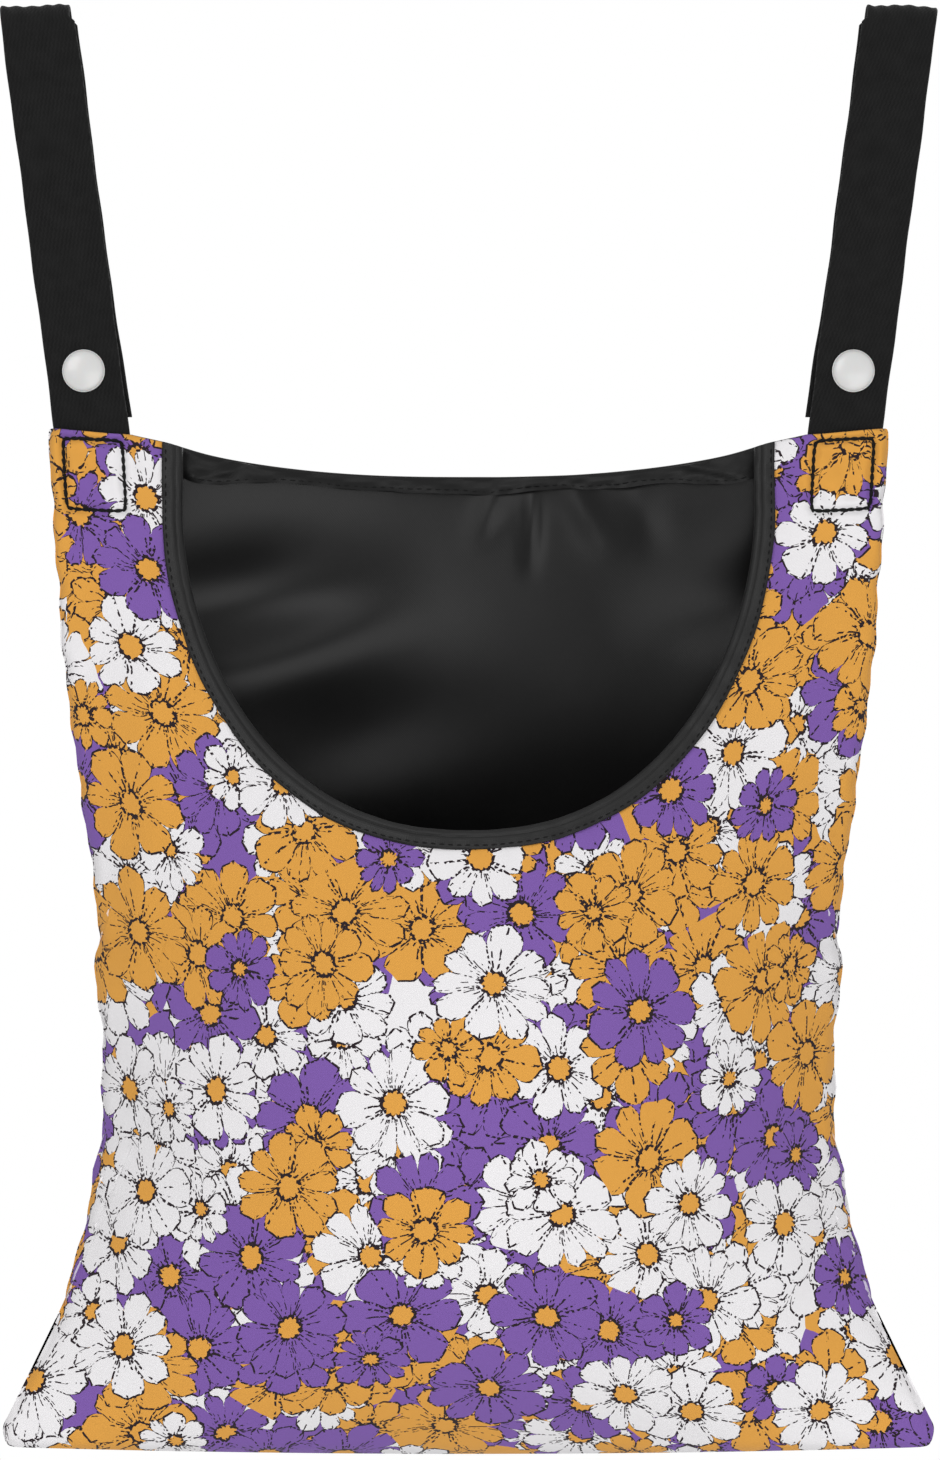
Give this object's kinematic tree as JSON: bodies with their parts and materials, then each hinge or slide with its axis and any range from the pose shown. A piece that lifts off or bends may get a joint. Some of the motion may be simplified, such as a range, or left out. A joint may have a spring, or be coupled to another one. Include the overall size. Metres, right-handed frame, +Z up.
{
  "type": "peg bag",
  "caption": "Hanging cloth peg bag with a flared pouch, a bound scoop opening in its printed front, and webbing loops closed by press snaps.",
  "frame": {"origin": "on the hanging line, midway between the two loops, at the inner crown of their bights", "axes": "+Z up, +X to the viewer's right along the hanging line, -Y out of the printed front"},
  "size_m": [0.309, 0.1123, 0.4756],
  "materials": {
    "printed_cloth": "matt woven polyester with a printed all-over daisy pattern in purple, orange and white",
    "black_cloth": "soft satin black polyester",
    "binding_tape": "black bias tape",
    "black_webbing": "matt black twill webbing",
    "black_thread": "spun polyester thread",
    "white_resin": "glossy moulded white resin"
  },
  "bodies": {
    "left_strap": {"left_strap_leg": "black_webbing", "left_snap_cap": "white_resin", "left_snap_socket": "white_resin"},
    "bag": {"front_panel": "printed_cloth", "back_panel": "black_cloth", "scoop_binding": "binding_tape", "binding_stitch": "black_thread", "back_hem": "black_cloth", "hem_stitch": "black_thread", "left_side_seam": "black_cloth", "right_side_seam": "black_cloth", "bottom_seam": "black_cloth", "left_strap_tail": "black_webbing", "right_strap_tail": "black_webbing", "left_box_stitch": "black_thread", "right_box_stitch": "black_thread"},
    "right_strap": {"right_strap_leg": "black_webbing", "right_snap_cap": "white_resin", "right_snap_socket": "white_resin"},
    "left_flap": {"left_strap_flap": "black_webbing", "left_snap_stud": "white_resin", "left_snap_back": "white_resin"},
    "right_flap": {"right_strap_flap": "black_webbing", "right_snap_stud": "white_resin", "right_snap_back": "white_resin"}
  },
  "joints": [
    {"name": "bag_swing", "type": "hinge", "parent": "left_strap", "child": "bag", "pos_m": [-0.12349, -0.0059, -0.1367], "axis": [1, 0, 0], "range_deg": [-90, 75]},
    {"name": "right_strap_swing", "type": "hinge", "parent": "bag", "child": "right_strap", "pos_m": [0.12349, -0.0059, -0.1367], "axis": [1, 0, 0], "range_deg": [-75, 90]},
    {"name": "left_flap_open", "type": "hinge", "parent": "left_strap", "child": "left_flap", "pos_m": [-0.14179, 0, 0.0009], "axis": [1, 0, 0], "range_deg": [0, 110]},
    {"name": "right_flap_open", "type": "hinge", "parent": "right_strap", "child": "right_flap", "pos_m": [0.14179, 0, 0.0009], "axis": [1, 0, 0], "range_deg": [0, 110]}
  ],
  "couplings": [
    {"joint": "right_strap_swing", "follows": "bag_swing", "ratio": -1}
  ]
}
